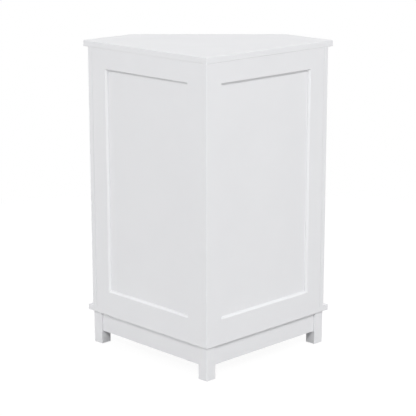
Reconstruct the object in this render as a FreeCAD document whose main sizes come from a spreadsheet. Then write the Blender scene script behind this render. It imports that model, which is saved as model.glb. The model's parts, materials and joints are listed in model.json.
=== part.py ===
import FreeCAD, Part
import os
import re
import Sketcher

# Corner bathroom storage cabinet: a five-sided carcass on five legs, with a framed door across the diagonal
# front. The room's corner is at +Y, the door faces -Y and the floor is at Z = 0. Left and right are as seen
# by a person in front of the door. Lengths are in millimetres.

os.makedirs("parts", exist_ok=True)
doc = FreeCAD.newDocument("corner_cabinet")
Vector = FreeCAD.Vector
Rotation = FreeCAD.Rotation

# Driving sizes, one cell of the sheet each

SIZES = {
    # Whole cabinet
    "height": 800,
    "side": 445,  # top board along each wall
    "overhang": 17,  # top and bottom boards past the returns and the front
    "return_length": 155,  # short sides, from the wall to the front
    "board": 15,  # thickness of all carcass boards, the door frame and the aprons
    "arris": 0.8,  # small chamfer on exposed edges
    # Framed sides and door
    "frame_width": 54,  # stiles and rails, with their bevel
    "frame_bevel": 4.5,  # 45-degree bevel round the recess
    "panel_thickness": 8,  # field panel, flush with the inside of the frame
    "panel_lap": 8,  # rebate that the panel sits in
    "panel_play": 0.2,  # gap round the panel and at the end of each tongue
    # Base
    "base_height": 88,  # floor to the underside of the bottom board
    "leg_size": 30,
    "leg_inset": 5,  # leg faces behind the faces of the wall sides and the front
    "base_overrun": 7,  # how much further along the walls the base is set out than the carcass
    "apron_height": 51.5,
    "apron_setback": 5,  # apron faces behind the leg faces
    "tenon_length": 10,
    "tenon_thickness": 7,
    "tenon_shoulder": 8,  # above and below each tenon
    "tenon_play": 0.2,
    "glide_diameter": 18,
    "glide_height": 2,
    "nail_diameter": 2,
    "nail_length": 14,
    # Door and its front stiles
    "front_stile_width": 40,
    "door_gap": 2,  # above, below and on the knob side of the door
    # Butt hinges
    "hinge_height": 50,
    "hinge_inset": 80,  # door end to the middle of a hinge
    "leaf_thickness": 1.2,
    "leaf_play": 0.2,  # between the two closed leaves
    "leaf_width": 12,  # part of a leaf that lies on the edge of the board
    "knuckle_diameter": 6,
    "knuckle_clearance": 0.3,  # knuckles in front of the door face
    "knuckle_gap": 0.2,  # between neighbouring knuckles
    "pin_diameter": 3,
    "pin_play": 0.05,  # between pin and knuckle, all round
    "hinge_screw_spread": 30,
    "screw_diameter": 2.6,
    "screw_head_diameter": 4.8,
    "screw_head": 0.8,  # sunk in the leaf
    "screw_length": 12,
    # Knob
    "knob_height": 520,  # above the floor
    "knob_projection": 26,
    "knob_diameter": 28,
    "knob_head": 11,  # thickness of the head
    "knob_rim": 2,  # bevel round the front of the head
    "knob_neck_diameter": 12,
    "knob_bore_depth": 12,
    "knob_screw_diameter": 4,
    "knob_screw_bite": 10,
    "knob_screw_head_diameter": 8,
    "knob_screw_head": 2.4,
    # Magnetic catch
    "catch_offset": 80,  # middle of the catch from the middle of the door
    "catch_length": 46,
    "catch_depth": 16,
    "catch_height": 14,
    "magnet_length": 20,
    "magnet_depth": 9,
    "magnet_height": 8,
    "catch_screw_spread": 34,
    "catch_screw_head_diameter": 6,
    "catch_screw_head": 2,
    "catch_screw_bite": 8,
    "strike_length": 38,
    "strike_height": 9,
    "strike_screw_spread": 28,
    "catch_gap": 0.3,  # between magnet and strike plate with the door shut
    # Shelves
    "shelf_thickness": 15,
    "shelf_clearance": 1.5,
    "shelf_setback": 12,  # shelf edge behind the door
    "lower_shelf_height": 320,  # undersides of the shelves
    "upper_shelf_height": 552,
    "shelf_pin_diameter": 5,
    "shelf_pin_bite": 8,
    "shelf_pin_support": 6,  # diameter under the shelf
    "shelf_pin_reach": 8,
    "shelf_pin_collar": 8,
    "shelf_pin_collar_thickness": 1,
    "shelf_pin_pitch": 32,  # rows of holes
    "shelf_pin_row": 100,  # row in each return, from the wall
    # Cam locks, cam bolts and dowels
    "cam_diameter": 15,
    "cam_depth": 12,
    "cam_setback": 24,  # cam centre from the end of its board
    "cam_slot_length": 9,
    "cam_slot_width": 1.6,
    "cam_slot_depth": 2.5,
    "cam_joint_inset": 120,  # side joints from the ends of the boards
    "bolt_diameter": 6,
    "bolt_past": 2,  # bolt end past the middle of its cam
    "bolt_thread_diameter": 5,
    "bolt_thread_length": 10,
    "dowel_diameter": 8,
    "dowel_length": 30,
    "dowel_bite": 10,  # part of a dowel in the top or bottom board
    "return_dowel_row": 80,  # dowels of the returns, from the wall
    "fit_play": 0.1,  # between a fastener and its hole, all round
}

# Sizes that follow from the driving ones

DERIVED = {
    "wall_run": "side - overhang",
    "corner_front": "(wall_run + return_length) * cos(45)",
    "front_half": "(wall_run - return_length) * cos(45)",
    "corner_y": "(corner_front + max(overhang; knob_projection)) / 2",
    "board_front": "corner_front + overhang",
    "base_run": "wall_run + base_overrun",
    "mitre": "board * tan(22.5)",
    "recess": "board - panel_thickness",
    "carcass_bottom": "base_height + board",
    "carcass_top": "height - board",
    "stile_back": "frame_width - panel_lap",
    "opening_half": "front_half - front_stile_width",
    "hinge_gap": "2 * leaf_thickness + leaf_play",
    "door_hinge_edge": "opening_half - hinge_gap",
    "door_knob_edge": "door_gap - opening_half",
    "door_bottom": "carcass_bottom + door_gap",
    "door_top": "carcass_top - door_gap",
    "door_back": "corner_front - board",
    "axis_across": "opening_half - hinge_gap / 2",
    "axis_out": "corner_front + knuckle_diameter / 2 + knuckle_clearance",
    "knuckle_pitch": "hinge_height / 3",
    "knob_across": "door_knob_edge + frame_width / 2",
    "catch_middle": "carcass_top - catch_height / 2",
    "catch_front": "door_back - leaf_thickness - catch_gap",
    "front_leg_edge": "front_half + base_overrun * sqrt(2) - leg_inset * (sqrt(2) - 1)",
    "apron_bottom": "base_height - apron_height",
    "bolt_hole": "bolt_thread_diameter + 2 * fit_play",
    "bolt_hole_depth": "bolt_thread_length + fit_play",
    "bolt_way": "bolt_diameter + 2 * fit_play",
    "dowel_hole": "dowel_diameter + 2 * fit_play",
    "cam_hole": "cam_diameter + 2 * fit_play",
    "screw_hole": "screw_diameter + 2 * fit_play",
    "knob_hole": "knob_screw_diameter + 2 * fit_play",
    "shelf_pin_hole": "shelf_pin_diameter + 2 * fit_play",
}

# Turn of each working frame about the upright line where the two walls meet.
# In all three, local +Y points out of the cabinet; along a wall, local X counts from the corner.
TURN = {"right": -45, "left": 45, "front": 180}
# Sign of local X when going from the corner along a wall, or from the middle to the named side of the front
HAND = {"right": 1, "left": -1}
FRONT_HAND = {"right": -1, "left": 1}
# Small repeated holes and fasteners have a few flats that touch the true circle; cams and glides have more
FLAT_COUNT = 8
CAM_FLAT_COUNT = 12
# Points and edges this close to a line or plane lie on it
LEVEL = 0.001

sheet = doc.addObject("Spreadsheet::Sheet", "Sizes")
for row, (alias, size) in enumerate(SIZES.items(), 1):
    sheet.set(f"A{row}", str(size))
    sheet.setAlias(f"A{row}", alias)
doc.recompute()

nodes = []


def formula(text):
    """Spell a formula out: derived names are opened up and driving sizes point to the sheet."""

    def spell(match):
        word = match.group(0)
        if word in DERIVED:
            return "(" + formula(DERIVED[word]) + ")"
        if word in SIZES:
            return "Sizes." + word
        return word

    return re.sub(r"[a-z_]+", spell, text)


def number(text):
    """Present value of a formula."""
    return float(sheet.evalExpression(formula(text)))


def bind(item, name, text):
    """Tie one property of an object to a formula."""
    item.setExpression(name, formula(text))


def turned(angle, across, out):
    """Formulas for a plan point after a turn about the corner."""
    return (
        f"cos({angle}) * ({across}) - sin({angle}) * ({out})",
        f"sin({angle}) * ({across}) + cos({angle}) * ({out})",
    )


def in_front(side, across, out):
    """Formulas in the front frame for a plan point of another frame."""
    return turned(TURN[side] - TURN["front"], across, out)


def new_body(name, side):
    """Body that stands in one of the working frames."""
    body = doc.addObject("PartDesign::Body", name)
    body.Label = name
    body.Placement = FreeCAD.Placement(Vector(), Rotation(Vector(0, 0, 1), TURN[side]))
    bind(body, "Placement.Base.y", "corner_y")
    nodes.append(body)
    return body


def loose_body(name, place, turn):
    """Body at a place and turn of its own."""
    body = doc.addObject("PartDesign::Body", name)
    body.Label = name
    settle(body, place, turn)
    nodes.append(body)
    return body


def new_master(name):
    """Body that is only copied, standing at the origin."""
    return doc.addObject("PartDesign::Body", name + "_master")


def settle(item, place, turn):
    """Give an object its turn and tie its place to three formulas."""
    item.Placement = FreeCAD.Placement(Vector(), turn)
    for axis, text in zip("xyz", place):
        bind(item, f"Placement.Base.{axis}", text)


def origin_part(body, role):
    """One of the planes or axes of a body's own origin."""
    return next(item for item in body.Origin.OriginFeatures if item.Role == role)


def new_sketch(body, plane, level):
    """Sketch parallel to an origin plane, at a level along the plane's axis."""
    sketch = body.newObject("Sketcher::SketchObject", body.Name + "_sketch")
    sketch.AttachmentSupport = [(origin_part(body, plane + "_Plane"), "")]
    sketch.MapMode = "FlatFace"
    # The XZ plane looks along -Y, so its offset counts the other way
    offset = f"-({level})" if plane == "XZ" else level
    bind(sketch, "AttachmentOffset.Base.z", offset)
    return sketch


def add_rules(sketch, fixed, tied):
    """Add plain constraints, then others that are each tied to a formula."""
    first = sketch.ConstraintCount + len(fixed)
    sketch.addConstraint(fixed + [rule for rule, text in tied])
    for index, (rule, text) in enumerate(tied, first):
        bind(sketch, f"Constraints[{index}]", text)


def point_rules(item, end, across, up):
    """Constraints that hold one point of a sketch at a place given by two formulas."""
    return [
        (Sketcher.Constraint("DistanceX", -1, 1, item, end, number(across)), across),
        (Sketcher.Constraint("DistanceY", -1, 1, item, end, number(up)), up),
    ]


def draw_polygon(sketch, points):
    """Closed outline through points given by formulas."""
    first = sketch.GeometryCount
    count = len(points)
    corners = [Vector(number(across), number(up), 0) for across, up in points]
    lines = [Part.LineSegment(corners[index - 1], corners[index]) for index in range(count)]
    sketch.addGeometry(lines, False)
    joined = []
    tied = []
    for index, (across, up) in enumerate(points):
        following = first + (index + 1) % count
        joined.append(Sketcher.Constraint("Coincident", first + index, 2, following, 1))
        tied += point_rules(first + index, 2, across, up)
    add_rules(sketch, joined, tied)


def draw_rectangle(sketch, left, right, low, high):
    """Upright rectangle between four formulas."""
    draw_polygon(sketch, [(left, low), (right, low), (right, high), (left, high)])


def draw_circle(sketch, across, up, diameter):
    """Circle at a place given by two formulas."""
    centre = Vector(number(across), number(up), 0)
    circle = Part.Circle(centre, Vector(0, 0, 1), number(diameter) / 2)
    item = sketch.addGeometry(circle, False)
    size = Sketcher.Constraint("Diameter", item, number(diameter))
    add_rules(sketch, [], point_rules(item, 3, across, up) + [(size, diameter)])


def draw_flats(sketch, across, up, diameter, flats):
    """Regular outline whose flats touch a circle."""
    reach = f"({diameter}) / 2 / cos({180 / flats})"
    points = []
    for index in range(flats):
        angle = 360 * (index + 0.5) / flats
        points.append((f"{across} + {reach} * cos({angle})", f"{up} + {reach} * sin({angle})"))
    draw_polygon(sketch, points)


def pad(body, sketch, length):
    """Material along the sketch's normal."""
    feature = body.newObject("PartDesign::Pad", body.Name + "_pad")
    feature.Profile = sketch
    bind(feature, "Length", length)
    return feature


def cut(body, sketch, depth, along=False):
    """Pocket against the sketch's normal, or along it."""
    feature = body.newObject("PartDesign::Pocket", body.Name + "_cut")
    feature.Profile = sketch
    feature.Reversed = along
    bind(feature, "Length", depth)
    return feature


def pad_plan(body, points, low, length):
    """Upright prism on a plan outline."""
    sketch = new_sketch(body, "XY", low)
    draw_polygon(sketch, points)
    return pad(body, sketch, length)


def drill(body, plane, level, centres, diameter, depth, along=False, flats=FLAT_COUNT):
    """Holes of one size from one face."""
    sketch = new_sketch(body, plane, level)
    for across, up in centres:
        draw_flats(sketch, across, up, diameter, flats)
    return cut(body, sketch, depth, along)


def stack(body, steps, flats=FLAT_COUNT):
    """Stepped pin about local Z from diameters with a lower and an upper end each."""
    for diameter, low, high in steps:
        sketch = new_sketch(body, "XY", low)
        draw_flats(sketch, "0", "0", diameter, flats)
        pad(body, sketch, f"{high} - ({low})")


def ease_edges(body, feature, sharp=None):
    """Chamfer the level edges of a prism, except those whose middle makes the sharp test true."""
    doc.recompute()
    names = []
    for index, edge in enumerate(feature.Shape.Edges, 1):
        box = edge.BoundBox
        if box.ZLength < LEVEL and not (sharp and sharp(box.Center)):
            names.append(f"Edge{index}")
    chamfer = body.newObject("PartDesign::Chamfer", body.Name + "_arris")
    chamfer.Base = (feature, names)
    bind(chamfer, "Size", "arris")
    return chamfer


def revolve(body, profile):
    """Turned piece about local Z from a closed profile of radius and height."""
    sketch = new_sketch(body, "XZ", "0")
    draw_polygon(sketch, profile)
    feature = body.newObject("PartDesign::Revolution", body.Name + "_turning")
    feature.Profile = sketch
    feature.ReferenceAxis = (sketch, ["V_Axis"])
    feature.Angle = 360
    return feature


def spot(side, across, out, up):
    """Formulas in the part's frame for a point of a working frame."""
    x_text, y_text = turned(TURN[side], across, out)
    return x_text, f"corner_y + {y_text}", up


def facing(side, axis, cross):
    """Turn that takes local Z to one direction of a working frame and local X to another."""
    local = Rotation(cross, Vector(), axis, "ZXY")
    return Rotation(Vector(0, 0, 1), TURN[side]).multiply(local)


def copies(name, master, spots):
    """One node of separate solids: the master repeated at each place and turn."""
    links = []
    for index, (place, turn) in enumerate(spots, 1):
        link = doc.addObject("App::Link", f"{name}_{index}")
        link.LinkedObject = master
        settle(link, place, turn)
        links.append(link)
    group = doc.addObject("Part::Compound", name)
    group.Label = name
    group.Links = links
    nodes.append(group)
    return group


# Plan outlines


def five_sides(inset, reach, front):
    """Outline in the front frame: a right-angled corner, two walls, two returns and a straight front."""
    corner = ("0", f"({inset}) / cos(45)")
    wall_across = f"(({reach}) - ({inset})) * cos(45)"
    wall_out = f"(({reach}) + ({inset})) * cos(45)"
    front_across = f"({reach}) / cos(45) - ({front})"
    return [
        corner,
        (wall_across, wall_out),
        (front_across, front),
        (f"-({front_across})", front),
        (f"-({wall_across})", wall_out),
    ]


def box_plan(left, right, back, front):
    """Rectangular plan outline."""
    return [(left, back), (right, back), (right, front), (left, front)]


def square_post(left, back, across, out):
    """Leg outline with eased corners, from one corner and two signs."""
    far = f"{left} + {across} * leg_size"
    near = f"{back} + {out} * leg_size"
    return [
        (f"{left} + {across} * arris", back),
        (f"{far} - {across} * arris", back),
        (far, f"{back} + {out} * arris"),
        (far, f"{near} - {out} * arris"),
        (f"{far} - {across} * arris", near),
        (f"{left} + {across} * arris", near),
        (left, f"{near} - {out} * arris"),
        (left, f"{back} + {out} * arris"),
    ]


# Framed sides: stiles and rails with a bevel round the recess and a rebate at the back. The rails have
# tongues in the rebates of the stiles and are scribed over their bevels. The panel is flush at the back.


def make_stile(name, side, outer, inner, sign, face, low, length):
    """Stile from its outer edge to its recess edge; sign is the way from outer to inner."""
    body = new_body(name, side)
    outline = [
        (outer, f"{face} - board"),
        (f"{inner} - {sign} * panel_lap", f"{face} - board"),
        (f"{inner} - {sign} * panel_lap", f"{face} - recess"),
        (inner, f"{face} - recess"),
        (inner, f"{face} - frame_bevel"),
        (f"{inner} - {sign} * frame_bevel", face),
        (f"{outer} + {sign} * arris", face),
        (outer, f"{face} - arris"),
    ]
    pad_plan(body, outline, low, length)
    return body


def make_rail(name, side, left, right, outer, inner, sign, face):
    """Rail between two stiles; sign is the way from its outer edge to its recess edge."""
    body = new_body(name, side)
    lap_edge = f"{inner} - {sign} * panel_lap"
    front_low, back_low = (outer, outer) if sign > 0 else (inner, lap_edge)
    # The front part, its ends scribed over the bevels of the stiles
    front = [
        (left, f"{face} - recess"),
        (left, f"{face} - frame_bevel"),
        (f"{left} - frame_bevel", face),
        (f"{right} + frame_bevel", face),
        (right, f"{face} - frame_bevel"),
        (right, f"{face} - recess"),
    ]
    pad_plan(body, front, front_low, "frame_width")
    # The back part, with a tongue at each end that fills the rebate of the stile
    reach = "panel_lap - panel_play"
    back = box_plan(f"{left} - ({reach})", f"{right} + {reach}", f"{face} - board", f"{face} - recess")
    pad_plan(body, back, back_low, "stile_back")
    bevel = new_sketch(body, "YZ", f"{left} - frame_bevel")
    draw_polygon(bevel, [
        (f"{face} - frame_bevel", inner),
        (face, f"{inner} - {sign} * frame_bevel"),
        (face, inner),
    ])
    cut(body, bevel, f"{right} - ({left}) + 2 * frame_bevel", along=True)
    return body


def make_panel(name, side, left, right, low, high, face):
    """Field panel in the rebates of its frame."""
    body = new_body(name, side)
    sketch = new_sketch(body, "XZ", f"{face} - recess")
    reach = "panel_lap - panel_play"
    draw_rectangle(
        sketch,
        f"{left} - ({reach})",
        f"{right} + {reach}",
        f"{low} - ({reach})",
        f"{high} + {reach}",
    )
    pad(body, sketch, "panel_thickness")
    return body


# Fastener places along each wall: middle of each stile's exposed back, from the corner

STILE_MIDDLE = {
    ("right", "corner"): "board + stile_back / 2",
    ("left", "corner"): "(board + stile_back) / 2",
    ("right", "outer"): "wall_run - board - stile_back / 2",
    ("left", "outer"): "wall_run - board - stile_back / 2",
}
JOINT_HEIGHTS = ["carcass_bottom + cam_joint_inset", "carcass_top - cam_joint_inset"]
CORNER_CAM = "board + cam_setback"
RETURN_CAM = "wall_run - board - cam_setback"
BOARD_MIDDLE = "-board / 2"

SHELF_HEIGHTS = ["lower_shelf_height", "upper_shelf_height"]
PIN_HEIGHTS = [f"{shelf} - shelf_pin_support / 2" for shelf in SHELF_HEIGHTS]
PIN_ROW = [
    f"{height} + {step} * shelf_pin_pitch" for height in PIN_HEIGHTS for step in (-1, 0, 1)
]
HINGE_HEIGHTS = {
    "lower": "door_bottom + hinge_inset",
    "upper": "door_top - hinge_inset",
}

cam_spots = []
bolt_spots = []
dowel_spots = []
pin_spots = []
frame_screw_spots = []
door_screw_spots = []
glide_spots = []
UP = Vector(0, 0, 1)
DOWN = Vector(0, 0, -1)
OUT = Vector(0, 1, 0)
ALONG = Vector(1, 0, 0)


def add_cam(side, across, up, toward):
    """Cam lock in the inner face of a wall stile and the bolt that it draws in."""
    cam_spots.append((spot(side, across, "-board", up), facing(side, OUT, toward)))
    bolt_spots.append((spot(side, across, BOARD_MIDDLE, up), facing(side, toward, OUT)))


def bore_cams(body, across, heights):
    """Cam holes in the inner face of a wall stile."""
    centres = [(across, height) for height in heights]
    drill(body, "XZ", "-board", centres, "cam_hole", "cam_depth + fit_play", flats=CAM_FLAT_COUNT)


def bore_stile_ends(body, across):
    """Cams that hold a wall stile to the top and bottom boards."""
    heights = ["carcass_bottom + cam_setback", "carcass_top - cam_setback"]
    bore_cams(body, across, heights)
    edge = [(across, BOARD_MIDDLE)]
    drill(body, "XY", "carcass_top", edge, "bolt_way", "cam_setback")
    drill(body, "XY", "carcass_bottom", edge, "bolt_way", "cam_setback", along=True)


# Wall sides. The left wall side runs to the corner and covers the end of the right one.


def make_wall(side):
    """Framed side that stands against a wall of the room."""
    hand = HAND[side]
    start = "board" if side == "right" else "0"
    recess_start = f"{start} + frame_width"
    recess_end = "wall_run - board - frame_width"
    low, high = "carcass_bottom", "carcass_top"
    length = "carcass_top - carcass_bottom"
    recess_low = "carcass_bottom + frame_width"
    recess_high = "carcass_top - frame_width"

    corner_stile = make_stile(
        f"{side}_wall_corner_stile", side,
        f"{hand} * ({start})", f"{hand} * ({recess_start})", hand, "0", low, length,
    )
    outer_stile = make_stile(
        f"{side}_wall_outer_stile", side,
        f"{hand} * (wall_run - board)", f"{hand} * ({recess_end})", -hand, "0", low, length,
    )
    left, right = f"{hand} * ({recess_start})", f"{hand} * ({recess_end})"
    if hand < 0:
        left, right = right, left
    make_rail(f"{side}_wall_top_rail", side, left, right, high, recess_high, -1, "0")
    make_rail(f"{side}_wall_bottom_rail", side, left, right, low, recess_low, 1, "0")
    make_panel(f"{side}_wall_panel", side, left, right, recess_low, recess_high, "0")

    for place, body in (("corner", corner_stile), ("outer", outer_stile)):
        across = f"{hand} * ({STILE_MIDDLE[side, place]})"
        bore_stile_ends(body, across)
        add_cam(side, across, "carcass_bottom + cam_setback", DOWN)
        add_cam(side, across, "carcass_top - cam_setback", UP)

    # Shelf pins stand in the corner stile
    across = f"{hand} * ({STILE_MIDDLE[side, 'corner']})"
    centres = [(across, height) for height in PIN_ROW]
    drill(corner_stile, "XZ", "-board", centres, "shelf_pin_hole", "shelf_pin_bite + fit_play")
    for height in PIN_HEIGHTS:
        pin_spots.append((spot(side, across, "-board", height), facing(side, OUT, ALONG)))

    # Cams that draw the return against the outer stile
    across = f"{hand} * ({RETURN_CAM})"
    bore_cams(outer_stile, across, JOINT_HEIGHTS)
    edge = [(BOARD_MIDDLE, height) for height in JOINT_HEIGHTS]
    drill(outer_stile, "YZ", f"{hand} * (wall_run - board)", edge, "bolt_way", "cam_setback", hand < 0)
    for height in JOINT_HEIGHTS:
        add_cam(side, across, height, Vector(hand, 0, 0))

    # Corner joint: cams in the right wall side, bolts in the left one
    if side == "right":
        bore_cams(corner_stile, CORNER_CAM, JOINT_HEIGHTS)
        edge = [(BOARD_MIDDLE, height) for height in JOINT_HEIGHTS]
        drill(corner_stile, "YZ", "board", edge, "bolt_way", "cam_setback", along=True)
        for height in JOINT_HEIGHTS:
            add_cam(side, CORNER_CAM, height, Vector(-1, 0, 0))
    else:
        centres = [(BOARD_MIDDLE, height) for height in JOINT_HEIGHTS]
        drill(corner_stile, "XZ", "-board", centres, "bolt_hole", "bolt_hole_depth")


for side in ("right", "left"):
    make_wall(side)


# Returns and front stiles, mitred together at 135 degrees


def add_end_dowels(body, side, across, out):
    """Dowels from a board's ends into the top and bottom boards, on the same plan point."""
    depth = "dowel_length - dowel_bite + fit_play"
    drill(body, "XY", "carcass_top", [(across, out)], "dowel_hole", depth)
    drill(body, "XY", "carcass_bottom", [(across, out)], "dowel_hole", depth, along=True)
    high = spot(side, across, out, "carcass_top + dowel_bite - dowel_length")
    low = spot(side, across, out, "carcass_bottom - dowel_bite")
    for place in (high, low):
        dowel_spots.append((place, facing(side, UP, ALONG)))


def make_return(side):
    """Short side from the wall to the front."""
    hand = HAND[side]
    body = new_body(f"{side}_return", side)
    outer = f"{hand} * wall_run"
    inner = f"{hand} * (wall_run - board)"
    outline = [
        (inner, "0"),
        (f"{outer} - {hand} * arris", "0"),
        (outer, "-arris"),
        (outer, "-return_length"),
        (inner, "mitre - return_length"),
    ]
    pad_plan(body, outline, "carcass_bottom", "carcass_top - carcass_bottom")
    outward = hand > 0
    bolts = [(BOARD_MIDDLE, height) for height in JOINT_HEIGHTS]
    drill(body, "YZ", inner, bolts, "bolt_hole", "bolt_hole_depth", outward)
    pins = [("-shelf_pin_row", height) for height in PIN_ROW]
    drill(body, "YZ", inner, pins, "shelf_pin_hole", "shelf_pin_bite + fit_play", outward)
    for height in PIN_HEIGHTS:
        place = spot(side, inner, "-shelf_pin_row", height)
        pin_spots.append((place, facing(side, Vector(hand, 0, 0), OUT)))
    add_end_dowels(body, side, f"{hand} * (wall_run - board / 2)", "-return_dowel_row")


def make_front_stile(side):
    """Upright beside the door."""
    hand = FRONT_HAND[side]
    body = new_body(f"{side}_front_stile", "front")
    edge = f"{hand} * opening_half"
    outline = [
        (f"{hand} * front_half", "corner_front"),
        (f"{hand} * (front_half - mitre)", "door_back"),
        (edge, "door_back"),
        (edge, "corner_front - arris"),
        (f"{edge} + {hand} * arris", "corner_front"),
    ]
    pad_plan(body, outline, "carcass_bottom", "carcass_top - carcass_bottom")
    middle = f"{hand} * (front_half - front_stile_width / 2)"
    add_end_dowels(body, "front", middle, "corner_front - board / 2")
    return body


def hinge_screw_places():
    """Screw places on the edge of a board, out of the corner and up, for both hinges."""
    out = "corner_front - leaf_width / 2"
    return [
        (out, f"{height} + {sign} * hinge_screw_spread / 2")
        for height in HINGE_HEIGHTS.values()
        for sign in (-1, 1)
    ]


for side in ("right", "left"):
    make_return(side)
    front_stile = make_front_stile(side)
# The left front stile, made last, carries the hinges
screw_depth = "screw_length - leaf_thickness + fit_play"
drill(front_stile, "YZ", "opening_half", hinge_screw_places(), "screw_hole", screw_depth, along=True)


# Base: five legs, aprons with stub tenons, and nailed glides


def make_leg(name, side, left, back, across, out, mortises):
    """Square leg with a dowel at the top, a glide at the foot and mortises in the given faces."""
    body = new_body(name, side)
    pad_plan(body, square_post(left, back, across, out), "glide_height", "base_height - glide_height")
    middle = (f"{left} + {across} * leg_size / 2", f"{back} + {out} * leg_size / 2")
    dowel_depth = "dowel_length - dowel_bite + fit_play"
    drill(body, "XY", "base_height", [middle], "dowel_hole", dowel_depth)
    nail_hole = "nail_diameter + 2 * fit_play"
    drill(body, "XY", "glide_height", [middle], nail_hole, "nail_length + fit_play", along=True)
    low = "apron_bottom + tenon_shoulder - tenon_play"
    high = "base_height - tenon_shoulder + tenon_play"
    for plane, level, start, end, along in mortises:
        sketch = new_sketch(body, plane, level)
        draw_rectangle(sketch, start, end, low, high)
        cut(body, sketch, "tenon_length + tenon_play", along)
    upright = facing(side, UP, ALONG)
    dowel_spots.append((spot(side, *middle, "base_height + dowel_bite - dowel_length"), upright))
    glide_spots.append((spot(side, *middle, "0"), upright))
    return middle


def make_apron(name, side, outline, tenon):
    """Board between two legs; the tenon outline runs through both tenons or one."""
    body = new_body(name, side)
    pad_plan(body, outline, "apron_bottom", "apron_height")
    pad_plan(body, tenon, "apron_bottom + tenon_shoulder", "apron_height - 2 * tenon_shoulder")


APRON_FACE = "leg_inset + apron_setback"  # behind the face of a wall side or the front
TENON_FACE = f"{APRON_FACE} + (board - tenon_thickness) / 2"
TENON_BACK = f"{TENON_FACE} + tenon_thickness"
MORTISE_FACE = f"{TENON_FACE} - tenon_play"
MORTISE_BACK = f"{TENON_BACK} + tenon_play"
LEG_INNER = "leg_inset + leg_size"  # inner face of a leg, behind the same face

leg_middles = []
corner_mortises = [
    ("YZ", LEG_INNER, f"-({MORTISE_BACK})", f"-({MORTISE_FACE})", False),
    ("XZ", f"-({LEG_INNER})", MORTISE_FACE, MORTISE_BACK, False),
]
middle = make_leg("corner_leg", "right", "leg_inset", "-leg_inset", 1, -1, corner_mortises)
leg_middles.append(in_front("right", *middle))

for side, hand in HAND.items():
    wall_leg_face = f"{hand} * (base_run - ({LEG_INNER}))"
    ends = [
        f"{hand} * (base_run - ({MORTISE_BACK}))",
        f"{hand} * (base_run - ({MORTISE_FACE}))",
    ]
    wall_mortises = [
        ("YZ", wall_leg_face, f"-({MORTISE_BACK})", f"-({MORTISE_FACE})", hand > 0),
        ("XZ", f"-({LEG_INNER})", ends[0], ends[1], False),
    ]
    outer_edge = f"{hand} * (base_run - leg_inset)"
    middle = make_leg(f"{side}_wall_leg", side, outer_edge, "-leg_inset", -hand, -1, wall_mortises)
    leg_middles.append(in_front(side, *middle))

    near, far = f"{hand} * ({LEG_INNER})", wall_leg_face
    wall_apron = box_plan(near, far, f"-({APRON_FACE} + board)", f"-({APRON_FACE})")
    wall_tenon = box_plan(
        f"{near} - {hand} * tenon_length",
        f"{far} + {hand} * tenon_length",
        f"-({TENON_BACK})",
        f"-({TENON_FACE})",
    )
    make_apron(f"{side}_wall_apron", side, wall_apron, wall_tenon)

    # The return apron meets the side of the front leg at 45 degrees
    face = f"base_run - ({APRON_FACE})"
    back = f"{face} - board"
    leg_line = "front_leg_edge / cos(45)"
    return_apron = [
        (f"{hand} * ({face})", f"-({LEG_INNER})"),
        (f"{hand} * ({face})", f"{leg_line} - ({face})"),
        (f"{hand} * ({back})", f"{leg_line} - ({back})"),
        (f"{hand} * ({back})", f"-({LEG_INNER})"),
    ]
    return_tenon = box_plan(
        f"{hand} * (base_run - ({TENON_BACK}))",
        f"{hand} * (base_run - ({TENON_FACE}))",
        f"-({LEG_INNER}) - tenon_length",
        f"tenon_length - ({LEG_INNER})",
    )
    make_apron(f"{side}_return_apron", side, return_apron, return_tenon)

for side, hand in FRONT_HAND.items():
    inner_face = f"{hand} * (front_leg_edge - leg_size)"
    front_mortises = [
        ("YZ", inner_face, f"corner_front - ({MORTISE_BACK})", f"corner_front - ({MORTISE_FACE})", hand > 0),
    ]
    edge = f"{hand} * front_leg_edge"
    middle = make_leg(
        f"{side}_front_leg", "front", edge, "corner_front - leg_inset", -hand, -1, front_mortises
    )
    leg_middles.append(middle)

front_reach = "front_leg_edge - leg_size"
front_apron = box_plan(
    f"-({front_reach})",
    front_reach,
    f"corner_front - ({APRON_FACE}) - board",
    f"corner_front - ({APRON_FACE})",
)
front_tenon = box_plan(
    f"-({front_reach} + tenon_length)",
    f"{front_reach} + tenon_length",
    f"corner_front - ({TENON_BACK})",
    f"corner_front - ({TENON_FACE})",
)
make_apron("front_apron", "front", front_apron, front_tenon)


# Top and bottom boards

bolt_points = []
for (side, place), across in STILE_MIDDLE.items():
    bolt_points.append(in_front(side, f"{HAND[side]} * ({across})", BOARD_MIDDLE))
dowel_points = []
for side in ("right", "left"):
    return_middle = f"{HAND[side]} * (wall_run - board / 2)"
    dowel_points.append(in_front(side, return_middle, "-return_dowel_row"))
    stile_middle = f"{FRONT_HAND[side]} * (front_half - front_stile_width / 2)"
    dowel_points.append((stile_middle, "corner_front - board / 2"))


def make_board(name, low, inner_level, downward, sharp=None):
    """Five-sided board with holes for the bolts and dowels of the uprights on its inner face."""
    body = new_body(name, "front")
    ease_edges(body, pad_plan(body, five_sides("0", "side", "board_front"), low, "board"), sharp)
    drill(body, "XY", inner_level, bolt_points, "bolt_hole", "bolt_hole_depth", not downward)
    drill(body, "XY", inner_level, dowel_points, "dowel_hole", "dowel_bite + fit_play", not downward)
    return body


def meets_wall_side(point):
    """True on the upper edges of the bottom board along the two walls."""
    return point.z > number("base_height") + LEVEL and point.y - abs(point.x) < LEVEL


CATCH_SCREWS = [
    (f"-catch_offset + {sign} * catch_screw_spread / 2", "catch_front - catch_depth / 2") for sign in (-1, 1)
]

top_board = make_board("top_board", "carcass_top", "carcass_top", False)
drill(top_board, "XY", "carcass_top", CATCH_SCREWS, "screw_hole", "catch_screw_bite + fit_play", along=True)
# The wall sides stand flush on the bottom board, with no groove between them
bottom_board = make_board("bottom_board", "base_height", "carcass_bottom", True, meets_wall_side)
drill(bottom_board, "XY", "base_height", leg_middles, "dowel_hole", "dowel_bite + fit_play", along=True)


# Shelves

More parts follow.
